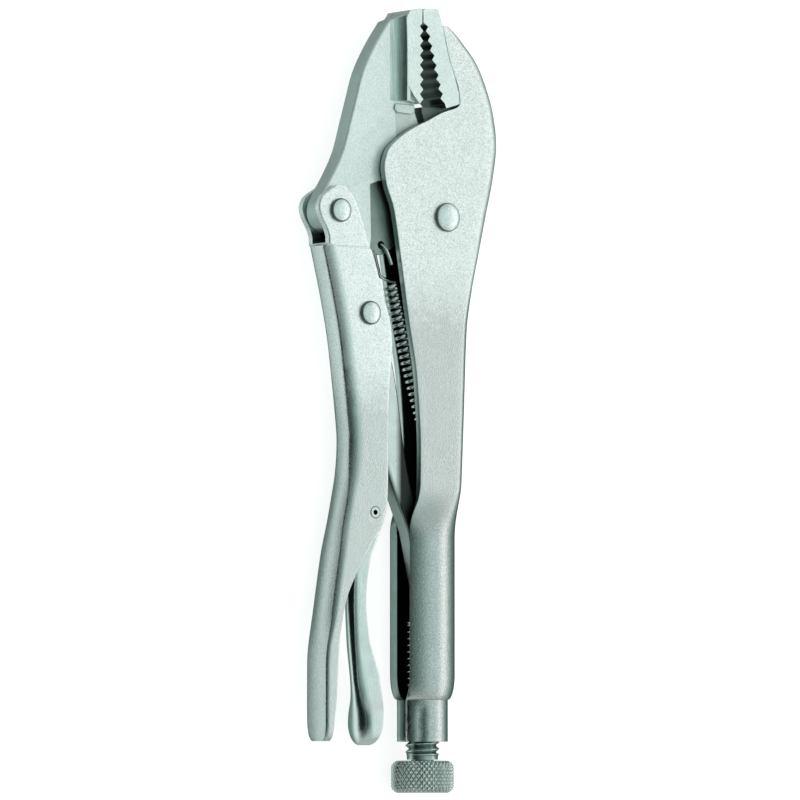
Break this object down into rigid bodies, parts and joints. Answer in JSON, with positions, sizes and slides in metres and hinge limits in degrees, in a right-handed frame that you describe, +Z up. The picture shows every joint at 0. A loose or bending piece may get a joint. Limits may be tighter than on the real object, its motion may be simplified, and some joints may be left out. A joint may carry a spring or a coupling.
{
  "type": "locking pliers",
  "caption": "Straight-jaw locking pliers with a toggle-locked movable jaw, release lever, return spring and knurled adjusting screw.",
  "frame": {"origin": "centre of the bounding box seen from above, on the plane that the tool lies on", "axes": "+Y along the tool from the adjusting knob towards the jaws, +X across it towards the fixed handle's back, +Z up through its thickness"},
  "size_m": [0.0706, 0.2494, 0.02],
  "materials": {
    "plated_steel": "satin nickel plate",
    "forged_steel": "satin nickel plate over a blasted forging",
    "bare_steel": "darker turned and knurled steel",
    "spring_steel": "drawn wire"
  },
  "bodies": {
    "fixed_handle": {"fixed_handle": "plated_steel", "fixed_jaw": "forged_steel", "jaw_pivot_rivet": "plated_steel", "return_spring": "spring_steel"},
    "movable_jaw": {"movable_jaw": "forged_steel", "handle_pivot_rivet": "plated_steel"},
    "movable_handle": {"movable_handle": "plated_steel", "toggle_pivot_rivet": "plated_steel", "release_lever_pin": "plated_steel"},
    "toggle_link": {"toggle_link": "plated_steel"},
    "release_lever": {"release_lever": "plated_steel"},
    "adjusting_screw": {"adjusting_screw": "bare_steel"},
    "adjusting_knob": {"adjusting_knob": "bare_steel"}
  },
  "joints": [
    {"name": "jaw_opening", "type": "hinge", "parent": "fixed_handle", "child": "movable_jaw", "pos_m": [0.01385, 0.0582, 0.01], "axis": [0, 0, 1], "range_deg": [0, 18], "deforming": ["return_spring"]},
    {"name": "handle_swing", "type": "hinge", "parent": "movable_jaw", "child": "movable_handle", "pos_m": [-0.02735, 0.0587, 0.01], "axis": [0, 0, 1], "range_deg": [-66.7, 0]},
    {"name": "toggle_swing", "type": "hinge", "parent": "movable_handle", "child": "toggle_link", "pos_m": [-0.01595, 0.0267, 0.01], "axis": [0, 0, 1], "range_deg": [0, 66.7]},
    {"name": "release_squeeze", "type": "hinge", "parent": "movable_handle", "child": "release_lever", "pos_m": [-0.01395, -0.0363, 0.01], "axis": [0, 0, 1], "range_deg": [-7, 0]},
    {"name": "screw_travel", "type": "slide", "parent": "fixed_handle", "child": "adjusting_screw", "axis": [0, -1, 0], "range_m": [0, 0.015]},
    {"name": "knob_turn", "type": "hinge", "parent": "adjusting_screw", "child": "adjusting_knob", "pos_m": [0.00845, -0.1247, 0.01], "axis": [0, -1, 0], "range_deg": [0, 2573]}
  ],
  "couplings": [
    {"joint": "handle_swing", "follows": "jaw_opening", "ratio": -3.7},
    {"joint": "toggle_swing", "follows": "jaw_opening", "ratio": 3.7},
    {"joint": "knob_turn", "follows": "screw_travel", "rad_per_m": 2992}
  ]
}
